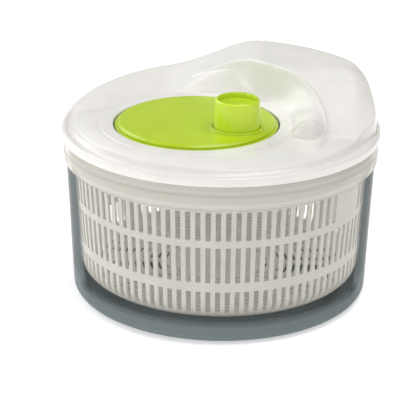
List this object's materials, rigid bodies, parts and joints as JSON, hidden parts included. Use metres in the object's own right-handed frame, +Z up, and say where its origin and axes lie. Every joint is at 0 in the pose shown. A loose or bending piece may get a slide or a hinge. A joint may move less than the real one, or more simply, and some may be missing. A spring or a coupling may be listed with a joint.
{
  "type": "salad spinner",
  "caption": "Round salad spinner: clear bowl, slotted basket, and a white lid with a raised hood, an off-centre crank disc and a turning knob.",
  "frame": {"origin": "on the table, under the centre of the bowl", "axes": "+Z up along the axis of the bowl, basket and drive shaft; -Y is the front; the lid's hood is towards +X +Y and the crank disc's axis towards -X -Y"},
  "size_m": [0.25, 0.25, 0.172],
  "materials": {
    "clear_bowl": "clear, faintly smoke-blue, polished",
    "basket_white": "off-white, faintly translucent moulded plastic",
    "lid_white": "white, smooth, semi-gloss",
    "lime": "lime green, smooth, semi-gloss",
    "gear_white": "natural bearing plastic, matte",
    "grip": "matte soft silicone",
    "steel": "plain bright fasteners"
  },
  "bodies": {
    "bowl_base": {"bowl": "clear_bowl", "grip_ring": "grip"},
    "basket_carrier": {"pivot_bush": "gear_white"},
    "basket_turning": {"basket": "basket_white"},
    "lid": {"lid_shell": "lid_white", "crank_bush": "gear_white", "shaft_bush": "gear_white"},
    "crank": {"crank_disc": "lime", "ring_gear": "gear_white", "gear_screw_1": "steel", "gear_screw_2": "steel", "gear_screw_3": "steel", "crank_washer": "steel", "crank_screw": "steel", "knob_washer": "steel", "knob_screw": "steel"},
    "knob_turning": {"knob": "lime", "knob_cap": "lime"},
    "drive": {"drive_pinion": "gear_white", "drive_shaft": "steel", "shaft_clip": "steel", "drive_plate": "basket_white", "plate_screw": "steel"}
  },
  "joints": [
    {"name": "lid_lift", "type": "slide", "parent": "bowl_base", "child": "lid", "axis": [0, 0, 1], "range_m": [0, 0.15]},
    {"name": "basket_lift", "type": "slide", "parent": "bowl_base", "child": "basket_carrier", "axis": [0, 0, 1], "range_m": [0, 0.075]},
    {"name": "crank_spin", "type": "hinge", "parent": "lid", "child": "crank", "pos_m": [-0.01909, -0.01909, 0.1454], "axis": [0, 0, 1], "continuous": true},
    {"name": "knob_spin", "type": "hinge", "parent": "crank", "child": "knob_turning", "pos_m": [0.01191, -0.03816, 0.1454], "axis": [0, 0, 1], "continuous": true},
    {"name": "drive_spin", "type": "hinge", "parent": "lid", "child": "drive", "pos_m": [0, 0, 0.133], "axis": [0, 0, 1], "continuous": true},
    {"name": "basket_spin", "type": "hinge", "parent": "basket_carrier", "child": "basket_turning", "pos_m": [0, 0, 0.017], "axis": [0, 0, 1], "continuous": true}
  ],
  "couplings": [
    {"joint": "basket_lift", "follows": "lid_lift", "ratio": 0.5},
    {"joint": "drive_spin", "follows": "crank_spin", "ratio": 2.8},
    {"joint": "basket_spin", "follows": "crank_spin", "ratio": 2.8}
  ]
}
